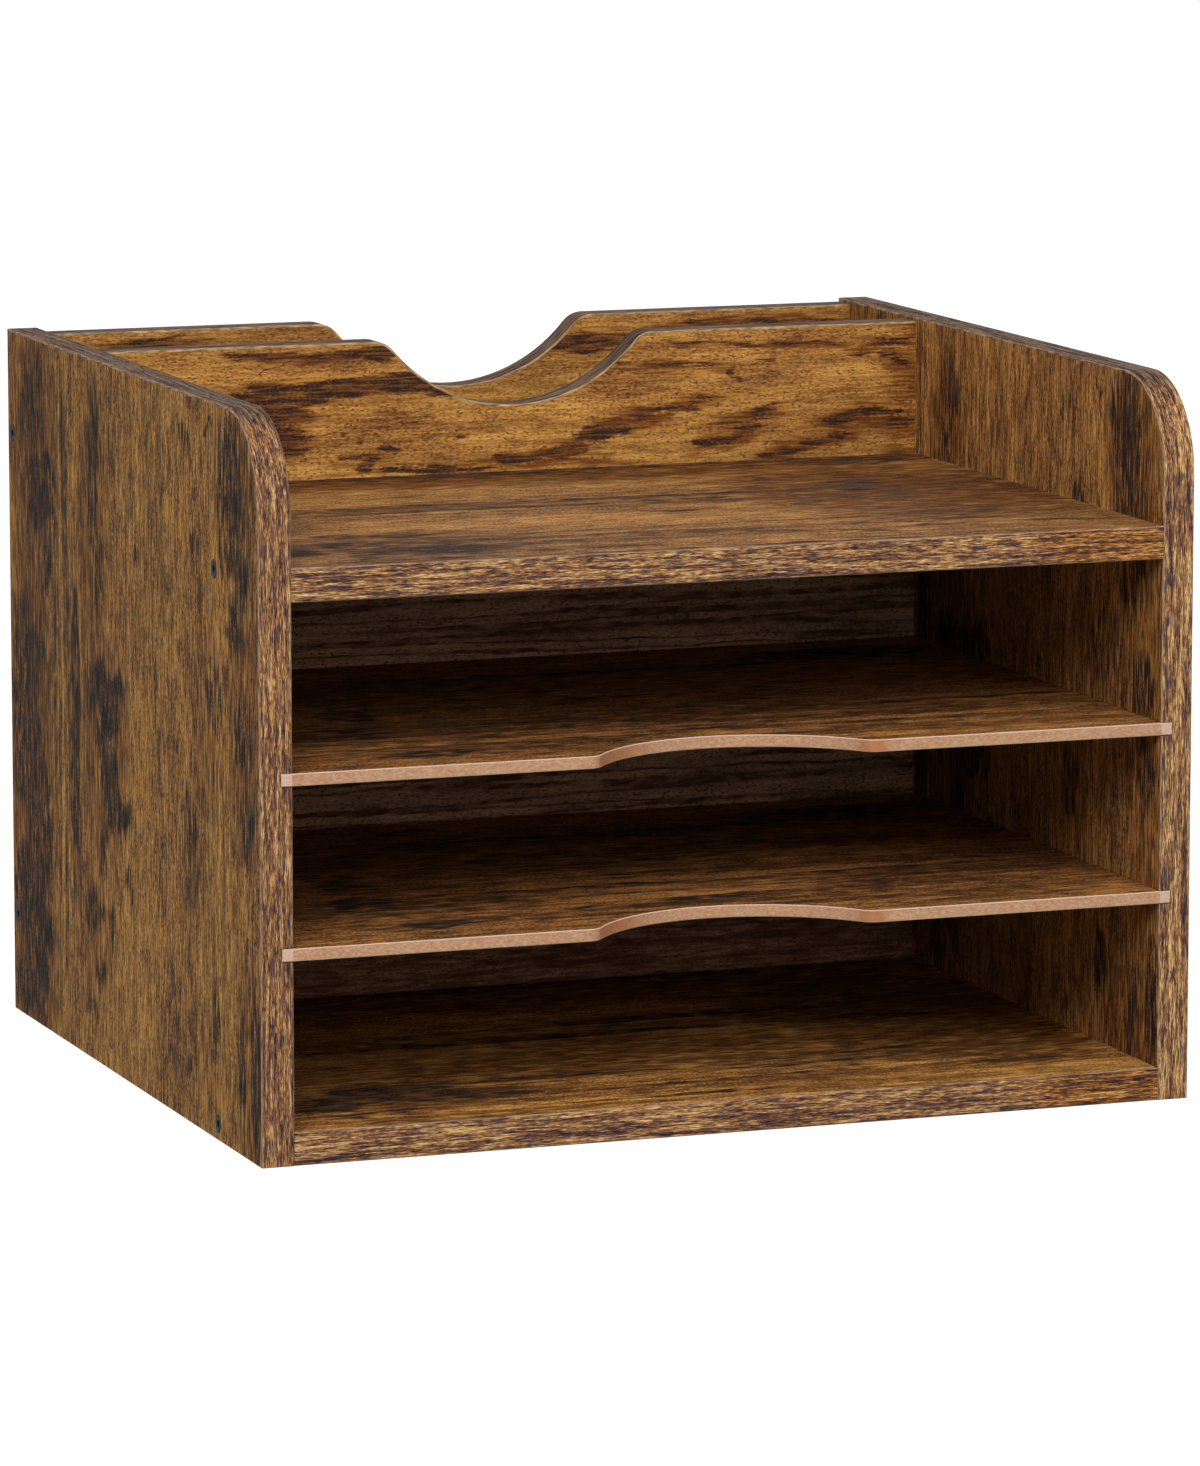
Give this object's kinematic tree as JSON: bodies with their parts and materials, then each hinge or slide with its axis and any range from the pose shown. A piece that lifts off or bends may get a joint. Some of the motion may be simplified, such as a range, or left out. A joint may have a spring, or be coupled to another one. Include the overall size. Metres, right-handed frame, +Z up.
{
  "type": "document organizer",
  "caption": "Open-fronted desk organizer of laminated board with removable paper shelves in grooves, a walled top tray and a rear file slot with hand scoops.",
  "frame": {"origin": "on the desk, under the centre of the bounding box", "axes": "+X to the right along the width, -Y out of the open front, +Z up"},
  "size_m": [0.355, 0.3154, 0.2645],
  "materials": {
    "rustic_laminate": "satin printed laminate, rustic brown with dark streaks along the grain",
    "edge_banding": "satin banding printed with fine rustic streaks, its trimmed edges paler",
    "shelf_board": "satin rustic brown laminate on both faces, raw pale fibre board on the edges",
    "black_steel": "black oxide, dull",
    "beech": "raw beech"
  },
  "bodies": {
    "carcass": {"left_side_panel": "rustic_laminate", "right_side_panel": "rustic_laminate", "bottom_panel": "rustic_laminate", "deck_panel": "rustic_laminate", "file_divider": "rustic_laminate", "rear_panel": "rustic_laminate", "left_front_band": "edge_banding", "right_front_band": "edge_banding", "left_rear_band": "edge_banding", "right_rear_band": "edge_banding", "bottom_band": "edge_banding", "deck_band": "edge_banding", "divider_band": "edge_banding", "rear_band": "edge_banding", "left_screws": "black_steel", "right_screws": "black_steel", "left_dowels": "beech", "right_dowels": "beech"},
    "upper_shelf_board": {"upper_shelf": "shelf_board"},
    "lower_shelf_board": {"lower_shelf": "shelf_board"}
  },
  "joints": [
    {"name": "upper_shelf_slide", "type": "slide", "parent": "carcass", "child": "upper_shelf_board", "axis": [0, -1, 0], "range_m": [0, 0.245]},
    {"name": "lower_shelf_slide", "type": "slide", "parent": "carcass", "child": "lower_shelf_board", "axis": [0, -1, 0], "range_m": [0, 0.245]}
  ]
}
